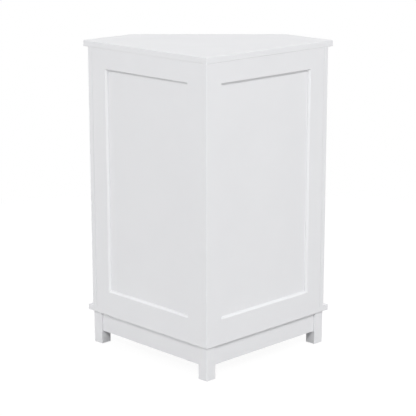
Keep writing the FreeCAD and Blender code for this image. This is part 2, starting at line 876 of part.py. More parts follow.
shelf_inset = "board + shelf_clearance"
shelf_outline = five_sides(shelf_inset, f"wall_run - ({shelf_inset})", "door_back - shelf_setback")
for name, height in zip(("lower_shelf", "upper_shelf"), SHELF_HEIGHTS):
    shelf = new_body(name, "front")
    ease_edges(shelf, pad_plan(shelf, shelf_outline, height, "shelf_thickness"))


# Door: the same framed build as the wall sides, set between the front stiles

door_low = "door_bottom + frame_width"
door_high = "door_top - frame_width"
door_left = "door_knob_edge + frame_width"
door_right = "door_hinge_edge - frame_width"
door_length = "door_top - door_bottom"

hinge_stile = make_stile(
    "door_hinge_stile", "front", "door_hinge_edge", door_right, -1, "corner_front", "door_bottom", door_length
)
drill(hinge_stile, "YZ", "door_hinge_edge", hinge_screw_places(), "screw_hole", screw_depth)
knob_stile = make_stile(
    "door_knob_stile", "front", "door_knob_edge", door_left, 1, "corner_front", "door_bottom", door_length
)
drill(knob_stile, "XZ", "door_back", [("knob_across", "knob_height")], "knob_hole", "board")
door_top_rail = make_rail(
    "door_top_rail", "front", door_left, door_right, "door_top", door_high, -1, "corner_front"
)
strike_screws = [
    (f"-catch_offset + {sign} * strike_screw_spread / 2", "catch_middle") for sign in (-1, 1)
]
drill(door_top_rail, "XZ", "door_back", strike_screws, "screw_hole", screw_depth)
make_rail("door_bottom_rail", "front", door_left, door_right, "door_bottom", door_low, 1, "corner_front")
make_panel("door_panel", "front", door_left, door_right, door_low, door_high, "corner_front")


# Butt hinges: leaves on the edges of the board and the door, knuckles that interleave, and a pin


def sink_screws(body, plane, level, centres, along):
    """Screw holes through a thin plate with a seat for each head."""
    drill(body, plane, level, centres, "screw_hole", "leaf_thickness", along)
    drill(body, plane, level, centres, "screw_head_diameter + 2 * fit_play", "screw_head", along)


def make_leaf(name, middle, sign, knuckles):
    """Hinge leaf on one side of the pin, with its own share of the three knuckles."""
    body = new_body(name, "front")
    bottom = f"{middle} - hinge_height / 2"
    near = f"axis_across + {sign} * leaf_play / 2"
    far = f"axis_across + {sign} * hinge_gap / 2"
    plate = box_plan(near, far, "corner_front - leaf_width", "corner_front")
    pad_plan(body, plate, bottom, "hinge_height")
    length = "knuckle_pitch - knuckle_gap"
    for index in knuckles:
        low = f"{bottom} + {index} * knuckle_pitch + knuckle_gap / 2"
        pad_plan(body, box_plan(near, far, "corner_front - leaf_width / 4", "axis_out"), low, length)
        barrel = new_sketch(body, "XY", low)
        draw_circle(barrel, "axis_across", "axis_out", "knuckle_diameter")
        pad(body, barrel, length)
    bore = new_sketch(body, "XY", bottom)
    draw_circle(bore, "axis_across", "axis_out", "pin_diameter + 2 * pin_play")
    cut(body, bore, "hinge_height", along=True)
    places = [
        ("corner_front - leaf_width / 2", f"{middle} + {turn} * hinge_screw_spread / 2") for turn in (-1, 1)
    ]
    # The heads sit on the side that faces the other leaf
    sink_screws(body, "YZ", near, places, sign > 0)


def make_pin(name, middle):
    """Hinge pin, level with the ends of the knuckles."""
    body = new_body(name, "front")
    half = "(hinge_height - knuckle_gap) / 2"
    shaft = new_sketch(body, "XY", f"{middle} - {half}")
    draw_circle(shaft, "axis_across", "axis_out", "pin_diameter")
    pad(body, shaft, f"2 * {half}")


for level, middle in HINGE_HEIGHTS.items():
    make_leaf(f"{level}_hinge_frame_leaf", middle, 1, (0, 2))
    make_leaf(f"{level}_hinge_door_leaf", middle, -1, (1,))
    make_pin(f"{level}_hinge_pin", middle)

for out, up in hinge_screw_places():
    frame_seat = "axis_across + leaf_play / 2"
    frame_screw_spots.append((spot("front", frame_seat, out, up), facing("front", ALONG, UP)))
    door_seat = "axis_across - leaf_play / 2"
    door_screw_spots.append((spot("front", door_seat, out, up), facing("front", -ALONG, UP)))


# Knob: a turned neck and head with a bore for its screw, standing out from the door

knob_place = spot("front", "knob_across", "corner_front", "knob_height")
knob = loose_body("door_knob", knob_place, facing("front", OUT, ALONG))
# The round bore clears the corners of the screw's flats
knob_bore = f"knob_hole / 2 / cos({180 / FLAT_COUNT})"
revolve(knob, [
    (knob_bore, "0"),
    ("knob_neck_diameter / 2", "0"),
    ("knob_neck_diameter / 2", "knob_projection - knob_head"),
    ("knob_diameter / 2", "knob_projection - knob_head"),
    ("knob_diameter / 2", "knob_projection - knob_rim"),
    ("knob_diameter / 2 - knob_rim", "knob_projection"),
    ("0", "knob_projection"),
    ("0", "knob_bore_depth"),
    (knob_bore, "knob_bore_depth"),
])

screw_place = spot("front", "knob_across", "door_back", "knob_height")
knob_screw = loose_body("knob_screw", screw_place, facing("front", OUT, ALONG))
stack(knob_screw, [
    ("knob_screw_diameter", "0", "board + knob_screw_bite"),
    ("knob_screw_head_diameter", "-knob_screw_head", "0"),
])


# Magnetic catch under the top board and its strike plate on the door

catch = new_body("catch_housing", "front")
catch_left = "-catch_offset - catch_length / 2"
catch_right = "-catch_offset + catch_length / 2"
catch_plan = box_plan(catch_left, catch_right, "catch_front - catch_depth", "catch_front")
pad_plan(catch, catch_plan, "carcass_top - catch_height", "catch_height")
drill(catch, "XY", "carcass_top", CATCH_SCREWS, "screw_hole", "catch_height")
magnet_left = "-catch_offset - magnet_length / 2"
magnet_right = "-catch_offset + magnet_length / 2"
magnet_low = "catch_middle - magnet_height / 2"
magnet_high = "catch_middle + magnet_height / 2"
pocket = new_sketch(catch, "XZ", "catch_front")
draw_rectangle(
    pocket,
    f"{magnet_left} - fit_play",
    f"{magnet_right} + fit_play",
    f"{magnet_low} - fit_play",
    f"{magnet_high} + fit_play",
)
cut(catch, pocket, "magnet_depth", along=True)

magnet = new_body("catch_magnet", "front")
magnet_face = new_sketch(magnet, "XZ", "catch_front")
draw_rectangle(magnet_face, magnet_left, magnet_right, magnet_low, magnet_high)
pad(magnet, magnet_face, "magnet_depth")

strike = new_body("strike_plate", "front")
strike_face = new_sketch(strike, "XZ", "door_back")
draw_rectangle(
    strike_face,
    "-catch_offset - strike_length / 2",
    "-catch_offset + strike_length / 2",
    "catch_middle - strike_height / 2",
    "catch_middle + strike_height / 2",
)
pad(strike, strike_face, "leaf_thickness")
sink_screws(strike, "XZ", "door_back - leaf_thickness", strike_screws, False)


# Fasteners, each made once and copied to its places

cam_master = new_master("cam_lock")
stack(cam_master, [("cam_diameter", "0", "cam_depth")], CAM_FLAT_COUNT)
drill(cam_master, "YZ", "-bolt_past - fit_play", [("0", "board / 2")], "bolt_way", "cam_diameter", along=True)
slot = new_sketch(cam_master, "XY", "0")
slot_end, slot_edge = "cam_slot_length / 2", "cam_slot_width / 2"
draw_rectangle(slot, f"-{slot_end}", slot_end, f"-{slot_edge}", slot_edge)
cut(cam_master, slot, "cam_slot_depth", along=True)
copies("cam_locks", cam_master, cam_spots)

bolt_master = new_master("cam_bolt")
stack(bolt_master, [
    ("bolt_diameter", "-bolt_past", "cam_setback"),
    ("bolt_thread_diameter", "cam_setback", "cam_setback + bolt_thread_length"),
])
copies("cam_bolts", bolt_master, bolt_spots)

dowel_master = new_master("dowel")
stack(dowel_master, [("dowel_diameter", "0", "dowel_length")])
copies("dowels", dowel_master, dowel_spots)

pin_master = new_master("shelf_pin")
stack(pin_master, [
    ("shelf_pin_support", "-shelf_pin_reach", "-shelf_pin_collar_thickness"),
    ("shelf_pin_collar", "-shelf_pin_collar_thickness", "0"),
    ("shelf_pin_diameter", "0", "shelf_pin_bite"),
])
copies("shelf_pins", pin_master, pin_spots)

glide_master = new_master("foot_glide")
stack(glide_master, [("glide_diameter", "0", "glide_height")], CAM_FLAT_COUNT)
stack(glide_master, [("nail_diameter", "glide_height", "glide_height + nail_length")])
copies("foot_glides", glide_master, glide_spots)

screw_master = new_master("sunk_screw")
stack(screw_master, [
    ("screw_head_diameter", "0", "screw_head"),
    ("screw_diameter", "screw_head", "screw_length"),
])
copies("hinge_frame_screws", screw_master, frame_screw_spots)
copies("hinge_door_screws", screw_master, door_screw_spots)
strike_spots = []
for across, up in strike_screws:
    place = spot("front", across, "door_back - leaf_thickness", up)
    strike_spots.append((place, facing("front", OUT, ALONG)))
copies("strike_screws", screw_master, strike_spots)

catch_screw_master = new_master("catch_screw")
stack(catch_screw_master, [
    ("catch_screw_head_diameter", "-catch_screw_head", "0"),
    ("screw_diameter", "0", "catch_height + catch_screw_bite"),
])
catch_spots = []
for across, out in CATCH_SCREWS:
    place = spot("front", across, out, "carcass_top - catch_height")
    catch_spots.append((place, facing("front", UP, ALONG)))
copies("catch_screws", catch_screw_master, catch_spots)


# Check every object, then write one file per node

doc.recompute()
for item in doc.Objects:
    if "Invalid" in item.State or "Error" in item.State:
        raise RuntimeError(f"{item.Label} did not rebuild: {item.State}")
for node in nodes:
    shape = node.Shape
    if shape.isNull() or not shape.isValid() or not shape.Solids:
        raise RuntimeError(f"{node.Label} has no valid solid")
    shape.exportStep(f"parts/{node.Label}.step")
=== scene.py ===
import json
import math

import bpy
import numpy as np
from mathutils import Matrix, Vector


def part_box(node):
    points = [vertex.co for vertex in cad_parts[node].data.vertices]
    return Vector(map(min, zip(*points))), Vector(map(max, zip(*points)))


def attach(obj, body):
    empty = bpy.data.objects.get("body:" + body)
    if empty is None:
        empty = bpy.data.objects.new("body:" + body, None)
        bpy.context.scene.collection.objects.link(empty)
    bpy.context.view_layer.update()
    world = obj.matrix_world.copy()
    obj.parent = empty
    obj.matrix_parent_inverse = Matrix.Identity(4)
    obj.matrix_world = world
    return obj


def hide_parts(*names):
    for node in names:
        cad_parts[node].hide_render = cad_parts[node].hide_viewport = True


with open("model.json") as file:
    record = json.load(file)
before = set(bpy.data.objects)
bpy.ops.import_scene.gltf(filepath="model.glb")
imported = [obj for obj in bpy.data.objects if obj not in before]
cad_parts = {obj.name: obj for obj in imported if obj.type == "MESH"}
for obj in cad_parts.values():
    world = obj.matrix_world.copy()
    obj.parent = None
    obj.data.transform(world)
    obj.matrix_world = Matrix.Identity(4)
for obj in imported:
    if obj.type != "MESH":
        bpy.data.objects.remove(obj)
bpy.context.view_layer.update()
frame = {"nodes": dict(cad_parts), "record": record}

# Corner bathroom storage cabinet: finishes, turned hardware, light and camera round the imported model.
# Lengths are in metres. The door faces -Y, the room's corner is at +Y and the floor is at Z = 0.

MERGE = 0.00001  # points closer than this are one point
SHARP = math.radians(30)  # edges that turn more than this are rounded
SMOOTH = math.radians(35)  # faces that turn less than this are shaded as one
ACROSS = math.radians(90)

# Cam locks
CAM_RADIUS = 0.0075
CAM_LENGTH = 0.0118
CAM_RIM = 0.0004
CAM_SIDES = 40
CAM_SLOT = (0.009, 0.0016, 0.0024)  # length, width and depth
CAM_CROSS_SLOT = (0.0055, 0.0014, 0.0016)
SLOT_FLOOR = 0.8  # floor of a slot as a share of its mouth

# Shelf pins
PIN_RADIUS = 0.003
PIN_REACH = 0.008
PIN_COLLAR = (0.004, 0.001)  # radius and thickness
PIN_STEM = (0.0025, 0.008)  # radius and length
PIN_RIM = 0.0003
PIN_SIDES = 28

# Countersunk screws of the hinges and the strike plate
SHANK_RADIUS = 0.0013
SUNK_LENGTH = 0.012
SUNK_TIP = 0.003
SUNK_POINT = 0.2  # end of the tip as a share of the shank's radius
SUNK_HEAD_RADIUS = 0.0024
SUNK_HEAD_DEPTH = 0.0011
SUNK_RECESS = (0.0028, 0.0007, 0.0008)  # length, width and depth of each bar of the cross
SUNK_RIM = 0.00008
SUNK_SIDES = 28

# Pan heads of the catch screws and the knob screw, as shares of the head's radius and height
PAN_OUTLINE = ((1.0, 1.0), (1.0, 0.55), (0.93, 0.22), (0.75, 0.0))  # radius, and depth below the top
PAN_RECESS_LENGTH = 1.1
PAN_RECESS_WIDTH = 0.26
PAN_RECESS_DEPTH = 0.6
PAN_RIM = 0.03
PAN_SIDES = 32

# Foot glides
GLIDE_RADIUS = 0.009
GLIDE_HEIGHT = 0.002
GLIDE_OUTLINE = ((0.8, 0.0), (0.94, 0.25), (1.0, 0.6), (1.0, 1.0))  # shares of radius and height
GLIDE_RIM = 0.00015
GLIDE_SIDES = 36
NAIL_RADIUS = 0.001
NAIL_LENGTH = 0.014

# Door knob
KNOB_RADIUS = 0.014
KNOB_PROJECTION = 0.026
KNOB_HEAD = 0.011
KNOB_NECK = 0.006
# Neck: share of its radius, and height above the door
KNOB_NECK_OUTLINE = ((1.0, 0.0), (1.0, 0.0015), (0.88, 0.004), (0.84, 0.009), (1.0, 0.013), (1.5, 0.0148))
# Rim of the head: step in from its radius, and height above the back of the head
KNOB_RIM_OUTLINE = ((0.002, 0.0012), (0.0003, 0.0035), (0.0, 0.0055), (0.0003, 0.0075))
# Crown of the head: step in from its radius, and depth below the front
KNOB_CROWN_OUTLINE = ((0.0016, 0.0016), (0.004, 0.0004), (0.008, 0.0))
KNOB_EDGE = 0.0005
KNOB_EDGE_STEPS = 3
KNOB_SIDES = 48


# Working with selections


def pick(*pieces):
    """Select these pieces and nothing else; the last one is active."""
    bpy.ops.object.select_all(action="DESELECT")
    for piece in pieces:
        piece.select_set(True)
    bpy.context.view_layer.objects.active = pieces[-1]


def apply_modifier(piece, kind, **settings):
    """Give a piece one modifier and apply it."""
    modifier = piece.modifiers.new(kind.lower(), kind)
    for name, value in settings.items():
        setattr(modifier, name, value)
    pick(piece)
    bpy.ops.object.modifier_apply(modifier=modifier.name)


def soften(piece, width, segments=2):
    """Round the sharp edges of a piece and shade what is left smooth."""
    apply_modifier(piece, "BEVEL", width=width, segments=segments, limit_method="ANGLE",
                   angle_limit=SHARP, loop_slide=False)
    pick(piece)
    bpy.ops.object.shade_smooth_by_angle(angle=SMOOTH)


# Shapes


def turn_profile(name, rings, sides):
    """Turned piece about Z: a disc drawn on through rings of radius and height."""
    bpy.ops.object.select_all(action="DESELECT")
    radius, height = rings[0]
    bpy.ops.mesh.primitive_circle_add(
        vertices=sides, radius=radius, fill_type="NGON", location=(0, 0, height)
    )
    piece = bpy.context.object
    piece.name = name
    bpy.ops.object.transform_apply(location=True, rotation=True, scale=True)
    bpy.ops.object.mode_set(mode="EDIT")
    bpy.ops.mesh.select_mode(type="FACE")
    bpy.ops.mesh.select_all(action="SELECT")
    for next_radius, next_height in rings[1:]:
        rise = (0, 0, next_height - height)
        bpy.ops.mesh.extrude_region_move(TRANSFORM_OT_translate={"value": rise})
        share = next_radius / radius
        bpy.ops.transform.resize(value=(share, share, 1), center_override=(0, 0, next_height))
        radius, height = next_radius, next_height
    bpy.ops.mesh.select_all(action="SELECT")
    bpy.ops.mesh.normals_make_consistent(inside=False)
    bpy.ops.object.mode_set(mode="OBJECT")
    return piece


def cut_bar(piece, size, turn=0.0):
    """Cut a straight slot of the given length, width and depth down from Z = 0."""
    length, width, depth = size
    bpy.ops.object.select_all(action="DESELECT")
    bpy.ops.mesh.primitive_cube_add(size=1)
    bar = bpy.context.object
    bar.scale = (length, width, 2 * depth)
    bar.rotation_euler.z = turn
    bpy.ops.object.transform_apply(location=True, rotation=True, scale=True)
    # The floor of the slot is narrower than its mouth
    bpy.ops.object.mode_set(mode="EDIT")
    bpy.ops.mesh.select_mode(type="FACE")
    bpy.ops.mesh.select_all(action="DESELECT")
    bpy.ops.object.mode_set(mode="OBJECT")
    for face in bar.data.polygons:
        face.select = face.normal.z < -0.9  # the face that looks down
    bpy.ops.object.mode_set(mode="EDIT")
    bpy.ops.transform.resize(value=(SLOT_FLOOR, SLOT_FLOOR, 1), center_override=(0, 0, -depth))
    bpy.ops.object.mode_set(mode="OBJECT")
    apply_modifier(piece, "BOOLEAN", object=bar, operation="DIFFERENCE", solver="EXACT")
    bpy.data.objects.remove(bar)


def cut_cross(piece, size):
    """Cut a cross recess into the top of a screw head."""
    for turn in (0.0, ACROSS):
        cut_bar(piece, size, turn)


def make_cam():
    """Cam lock: a die-cast drum with a driving slot and a shorter one across it, its face at Z = 0."""
    rings = [(CAM_RADIUS, -CAM_LENGTH), (CAM_RADIUS, 0)]
    cam = turn_profile("cam", rings, CAM_SIDES)
    soften(cam, CAM_RIM)
    cut_bar(cam, CAM_SLOT)
    cut_bar(cam, CAM_CROSS_SLOT, ACROSS)
    return cam


def make_shelf_pin():
    """Shelf pin: a support under the shelf, a collar on the board and a stem in it, its tip at Z = 0."""
    collar_radius, collar = PIN_COLLAR
    stem_radius, stem = PIN_STEM
    rings = [
        (stem_radius, -PIN_REACH - stem),
        (stem_radius, -PIN_REACH),
        (collar_radius, -PIN_REACH),
        (collar_radius, -PIN_REACH + collar),
        (PIN_RADIUS, -PIN_REACH + collar),
        (PIN_RADIUS, 0),
    ]
    pin = turn_profile("pin", rings, PIN_SIDES)
    soften(pin, PIN_RIM)
    return pin


def make_sunk_screw():
    """Countersunk screw with a cross recess; its head is level with Z = 0."""
    rings = [
        (SHANK_RADIUS * SUNK_POINT, -SUNK_LENGTH),
        (SHANK_RADIUS, -SUNK_LENGTH + SUNK_TIP),
        (SHANK_RADIUS, -SUNK_HEAD_DEPTH),
        (SUNK_HEAD_RADIUS, 0),
    ]
    screw = turn_profile("sunk_screw", rings, SUNK_SIDES)
    cut_cross(screw, SUNK_RECESS)
    soften(screw, SUNK_RIM, segments=1)
    return screw


def make_pan_screw(radius, height, shank, length):
    """Pan-head screw with a cross recess; the top of its head is at Z = 0."""
    rings = [(shank, -height - length), (shank, -height)]
    rings += [(radius * out, -height * down) for out, down in PAN_OUTLINE]
    screw = turn_profile("pan_screw", rings, PAN_SIDES)
    cut_cross(screw, (radius * PAN_RECESS_LENGTH, radius * PAN_RECESS_WIDTH, height * PAN_RECESS_DEPTH))
    soften(screw, radius * PAN_RIM, segments=1)
    return screw


def make_glide():
    """Nailed foot glide: a domed button under the leg, resting on Z = 0."""
    rings = [(GLIDE_RADIUS * out, GLIDE_HEIGHT * up) for out, up in GLIDE_OUTLINE]
    rings += [(NAIL_RADIUS, GLIDE_HEIGHT), (NAIL_RADIUS, GLIDE_HEIGHT + NAIL_LENGTH)]
    glide = turn_profile("glide", rings, GLIDE_SIDES)
    soften(glide, GLIDE_RIM)
    return glide


def make_knob():
    """Door knob: a waisted neck and a cushioned head with a soft rim, from the door at Z = 0."""
    head_back = KNOB_PROJECTION - KNOB_HEAD
    rings = [(KNOB_NECK * share, up) for share, up in KNOB_NECK_OUTLINE]
    rings += [(KNOB_RADIUS - step, head_back + up) for step, up in KNOB_RIM_OUTLINE]
    rings += [(KNOB_RADIUS - step, KNOB_PROJECTION - down) for step, down in KNOB_CROWN_OUTLINE]
    knob = turn_profile("knob", rings, KNOB_SIDES)
    soften(knob, KNOB_EDGE, segments=KNOB_EDGE_STEPS)
    return knob


# Places, read from the solids that the pieces stand for


def solids_of(node):
    """Points of each separate solid in a node, one array each."""
    copy = frame["nodes"][node].copy()
    copy.data = copy.data.copy()
    bpy.context.scene.collection.objects.link(copy)
    pick(copy)
    bpy.ops.object.mode_set(mode="EDIT")
    bpy.ops.mesh.select_all(action="SELECT")
    bpy.ops.mesh.remove_doubles(threshold=MERGE)
    bpy.ops.mesh.separate(type="LOOSE")
    bpy.ops.object.mode_set(mode="OBJECT")
    parts = list(bpy.context.selected_objects)
    points = [np.array([corner.co for corner in part.data.vertices]) for part in parts]
    for part in parts:
        bpy.data.objects.remove(part)
    return points


def stand(place, direction):
    """Matrix that puts a piece's origin at a place, with its Z along a direction."""
    turn = Vector(direction).to_track_quat("Z", "Y")
    return Matrix.Translation(Vector(place)) @ turn.to_matrix().to_4x4()


def long_axis(points):
    """Direction in which points spread most, seen from their middle."""
    return np.linalg.svd(points - points.mean(0), full_matrices=False)[2][0]


def screw_place(points):
    """Place on the outside of a screw's head, looking out of it."""
    middle = points.mean(0)
    axis = long_axis(points)
    along = (points - middle) @ axis
    spread = np.linalg.norm(points - middle - np.outer(along, axis), axis=1)
    head = along[spread > 0.9 * spread.max()].mean()  # the head has the points farthest from the axis
    if head < (along.min() + along.max()) / 2:
        axis, along = -axis, -along
    return stand(middle + axis * along.max(), axis)


def pin_place(points):
    """Place on the tip of a shelf pin, looking into the cabinet."""
    middle = points.mean(0)
    axis = long_axis(points)
    if axis[:2] @ middle[:2] > 0:
        axis = -axis
    return stand(middle + axis * ((points - middle) @ axis).max(), axis)


def cam_place(points):
    """Place on the face of a cam, looking into the cabinet from its wall side."""
    hand = math.copysign(1, points[:, 0].mean())
    inward = np.array((-hand, -1, 0)) / math.sqrt(2)
    along = np.array((hand, -1, 0)) / math.sqrt(2)
    up = np.array((0, 0, 1))
    reach = (points @ inward).max()
    across = (points @ along).min() + (points @ along).max()
    height = (points @ up).min() + (points @ up).max()
    return stand(inward * reach + along * across / 2 + up * height / 2, inward)


def glide_place(points):
    """Place of a glide on the floor."""
    x, y = points.mean(0)[:2]
    return Matrix.Translation((x, y, 0))


def fit_out(name, master, node, place_of, body, slot, step=0.0):
    """Copies of a master at every solid of a node, joined into one piece that stands for the node."""
    copies = []
    for index, points in enumerate(solids_of(node)):
        copy = master.copy()
        copy.data = master.data.copy()
        bpy.context.scene.collection.objects.link(copy)
        spin = Matrix.Rotation(index * step, 4, "Z")
        copy.data.transform(place_of(points) @ spin)
        copies.append(copy)
    pick(*copies)
    bpy.ops.object.join()
    piece = bpy.context.object
    piece.name = name
    piece.data.materials.clear()
    piece.data.materials.append(FINISHES[slot])
    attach(piece, body)
    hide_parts(node)


# Shader node helpers


def put(tree, kind, inputs=None, **settings):
    """New shader node; inputs are plain values, or sockets to link from."""
    node = tree.nodes.new("ShaderNode" + kind)
    for name, value in settings.items():
        setattr(node, name, value)
    for name, value in (inputs or {}).items():
        if isinstance(value, bpy.types.NodeSocket):
            tree.links.new(value, node.inputs[name])
        else:
            node.inputs[name].default_value = value
    return node


def mix_colours(tree, share, first, second):
    """Colour between two others; the share is a socket or a number."""
    # A Mix node's inputs 6 and 7 and its output 2 are its colours
    return put(tree, "Mix", {0: share, 6: first, 7: second}, data_type="RGBA").outputs[2]


def sum_of(tree, *values):
    """Sum of sockets and numbers."""
    total = values[0]
    for value in values[1:]:
        total = put(tree, "Math", {0: total, 1: value}, operation="ADD").outputs[0]
    return total


def times(tree, first, second):
    """Product of two sockets or numbers."""
    return put(tree, "Math", {0: first, 1: second}, operation="MULTIPLY").outputs[0]


def stretched(tree, vector, stretch):
    """Coordinates stretched along each axis."""
    return put(tree, "VectorMath", {0: vector, 1: stretch}, operation="MULTIPLY").outputs[0]


def spread_out(tree, value, low, high, new_low=0.0, new_high=1.0):
    """Value taken from one range to another."""
    inputs = {"Value": value, "From Min": low, "From Max": high, "To Min": new_low, "To Max": new_high}
    return put(tree, "MapRange", inputs).outputs["Result"]


def object_place(tree):
    """Coordinates of the surface in the object's own space."""
    return put(tree, "TexCoord").outputs["Object"]


def new_group(name, inputs, outputs):
    """Empty node group with its sockets; gives the tree, its inputs and its output node."""
    tree = bpy.data.node_groups.new(name, "ShaderNodeTree")
    for label, kind, value in inputs:
        socket = tree.interface.new_socket(label, in_out="INPUT", socket_type="NodeSocket" + kind)
        socket.default_value = value
    for label, kind in outputs:
        tree.interface.new_socket(label, in_out="OUTPUT", socket_type="NodeSocket" + kind)
    given = tree.nodes.new("NodeGroupInput").outputs
    result = tree.nodes.new("NodeGroupOutput")
    return tree, given, result


def place_group(tree, group, inputs):
    """Outputs of a node group that is placed in a material with its own values."""
    return put(tree, "Group", inputs, node_tree=group).outputs


def new_material(name):
    """Empty node material with its Principled shader."""
    material = bpy.data.materials.new(name)
    material.use_nodes = True
    tree = material.node_tree
    return material, tree, tree.nodes["Principled BSDF"]


def bump(tree, shader, height, distance):
    """Relief on a shader from a height of 0 to 1."""
    node = put(tree, "Bump", {"Height": height, "Distance": distance})
    tree.links.new(node.outputs["Normal"], shader.inputs["Normal"])


# Effects that several finishes share

NOISE_RANGE = (0.3, 0.7)  # most of a noise lies between these
STIPPLE_FINER = 3.1  # how much finer the second noise of the stipple is
STIPPLE_COARSE_SHARE = 0.7
STIPPLE_FINE_SHARE = 0.3
BRUSH_FINER = 4.0  # how much finer the second set of brush lines is
BRUSH_SHARE = 0.5  # of each set of lines


def make_mottle():
    """Slow unevenness of tone: two tones in soft patches, and the same patches as a mask."""
    tree, given, result = new_group(
        "mottle",
        [("Tone", "Color", (1, 1, 1, 1)), ("Shade", "Color", (1, 1, 1, 1)), ("Patches", "Float", 10.0)],
        [("Color", "Color"), ("Mask", "Float")],
    )
    where = object_place(tree)
    noise = put(tree, "TexNoise", {"Vector": where, "Scale": given["Patches"], "Detail": 3.0})
    mask = spread_out(tree, noise.outputs[0], *NOISE_RANGE)
    tree.links.new(mix_colours(tree, mask, given["Tone"], given["Shade"]), result.inputs["Color"])
    tree.links.new(mask, result.inputs["Mask"])
    return tree


def make_stipple():
    """Fine skin of a sprayed, moulded or cast surface: a height and the share of flecks in it."""
    tree, given, result = new_group(
        "stipple",
        [("Grain", "Float", 800.0), ("Flecks", "Float", 0.3)],
        [("Height", "Float"), ("Fleck", "Float")],
    )
    where = object_place(tree)
    coarse = put(tree, "TexNoise", {"Vector": where, "Scale": given["Grain"], "Detail": 1.0}).outputs[0]
    fine_scale = times(tree, given["Grain"], STIPPLE_FINER)
    fine = put(tree, "TexNoise", {"Vector": where, "Scale": fine_scale, "Detail": 2.0}).outputs[0]
    height = sum_of(tree, times(tree, coarse, STIPPLE_COARSE_SHARE), times(tree, fine, STIPPLE_FINE_SHARE))
    tree.links.new(height, result.inputs["Height"])
    edge = put(tree, "Math", {0: 1.0, 1: given["Flecks"]}, operation="SUBTRACT").outputs[0]
    fleck = put(tree, "Math", {0: fine, 1: edge}, operation="GREATER_THAN").outputs[0]
    tree.links.new(fleck, result.inputs["Fleck"])
    return tree


def make_brushing():
    """Fine lines from a brush, a lathe tool or wood grain, along the axis that is stretched least."""
    tree, given, result = new_group(
        "brushing",
        [("Vector", "Vector", (0, 0, 0))],
        [("Height", "Float")],
    )
    where = given["Vector"]
    broad = put(tree, "TexNoise", {"Vector": where, "Scale": 1.0, "Detail": 2.0}).outputs[0]
    fine = put(tree, "TexNoise", {"Vector": where, "Scale": BRUSH_FINER, "Detail": 2.0}).outputs[0]
    height = sum_of(tree, times(tree, broad, BRUSH_SHARE), times(tree, fine, BRUSH_SHARE))
    tree.links.new(height, result.inputs["Height"])
    return tree


MOTTLE = make_mottle()
STIPPLE = make_stipple()
BRUSHING = make_brushing()


# Finishes

PAINT_TONE = (0.800, 0.803, 0.818, 1)
PAINT_SHADE = (0.788, 0.791, 0.807, 1)
PAINT_PATCHES = 9.0
PAINT_GRAIN = 420.0
PAINT_ROUGHNESS = (0.46, 0.54)
PAINT_SPECULAR = 0.1
PAINT_RELIEF = 0.00004

BRUSHED_PATCHES = 120.0
BRUSHED_ROUGHNESS = (0.2, 0.42)
BRUSHED_RELIEF = 0.00002

GRAINED_PATCHES = 90.0
GRAINED_ROUGHNESS_SPAN = 0.06  # either way from the finish's own roughness
FLECK_SHARE = 0.38
FLECK_SHADE = 0.82  # flecks as a share of the darker tone
FLECK_STRENGTH = 0.6

BEECH_TONE = (0.52, 0.33, 0.18, 1)
BEECH_LIGHT = (0.62, 0.43, 0.26, 1)
BEECH_STRETCH = (900, 900, 60)
BEECH_GRAIN_RANGE = (0.35, 0.65)
BEECH_ROUGHNESS = 0.6
BEECH_RELIEF = 0.00004


def paint_finish():
    """Satin white paint, sprayed on smooth fibreboard."""
    material, tree, shader = new_material("white_satin_paint")
    tone = place_group(tree, MOTTLE, {"Tone": PAINT_TONE, "Shade": PAINT_SHADE, "Patches": PAINT_PATCHES})
    skin = place_group(tree, STIPPLE, {"Grain": PAINT_GRAIN})
    tree.links.new(tone["Color"], shader.inputs["Base Color"])
    gloss = spread_out(tree, tone["Mask"], 0.0, 1.0, *PAINT_ROUGHNESS)
    tree.links.new(gloss, shader.inputs["Roughness"])
    shader.inputs["Specular IOR Level"].default_value = PAINT_SPECULAR
    bump(tree, shader, skin["Height"], PAINT_RELIEF)
    return material


def brushed_finish(name, tone, shade, stretch, centre=(0, 0, 0), turned=False):
    """Brushed or turned plated metal; turned lines run round the Y axis through the centre."""
    material, tree, shader = new_material(name)
    shift = [-value for value in centre]
    vector = put(tree, "Mapping", {"Vector": object_place(tree), "Location": shift}).outputs["Vector"]
    if turned:
        flat = stretched(tree, vector, (1, 0, 1))
        radius = put(tree, "VectorMath", {0: flat}, operation="LENGTH").outputs["Value"]
        depth = put(tree, "SeparateXYZ", {0: vector}).outputs["Y"]
        vector = put(tree, "CombineXYZ", {0: radius, 1: depth}).outputs[0]
    lines = place_group(tree, BRUSHING, {"Vector": stretched(tree, vector, stretch)})["Height"]
    worn = place_group(tree, MOTTLE, {"Tone": tone, "Shade": shade, "Patches": BRUSHED_PATCHES})
    tree.links.new(worn["Color"], shader.inputs["Base Color"])
    shader.inputs["Metallic"].default_value = 1.0
    rough = spread_out(tree, lines, *NOISE_RANGE, *BRUSHED_ROUGHNESS)
    tree.links.new(rough, shader.inputs["Roughness"])
    bump(tree, shader, lines, BRUSHED_RELIEF)
    return material


def grained_finish(name, tone, shade, grain, roughness, metal=0.0, relief=0.00003):
    """Moulded plastic, die-cast or plated metal, or fired ceramic, with its fine skin."""
    material, tree, shader = new_material(name)
    patches = place_group(tree, MOTTLE, {"Tone": tone, "Shade": shade, "Patches": GRAINED_PATCHES})
    skin = place_group(tree, STIPPLE, {"Grain": grain, "Flecks": FLECK_SHARE})
    dark = [value * FLECK_SHADE for value in shade[:3]] + [1]
    flecked = mix_colours(tree, times(tree, skin["Fleck"], FLECK_STRENGTH), patches["Color"], dark)
    tree.links.new(flecked, shader.inputs["Base Color"])
    shader.inputs["Metallic"].default_value = metal
    smoothest = roughness - GRAINED_ROUGHNESS_SPAN
    roughest = roughness + GRAINED_ROUGHNESS_SPAN
    gloss = spread_out(tree, skin["Height"], *NOISE_RANGE, smoothest, roughest)
    tree.links.new(gloss, shader.inputs["Roughness"])
    bump(tree, shader, skin["Height"], relief)
    return material


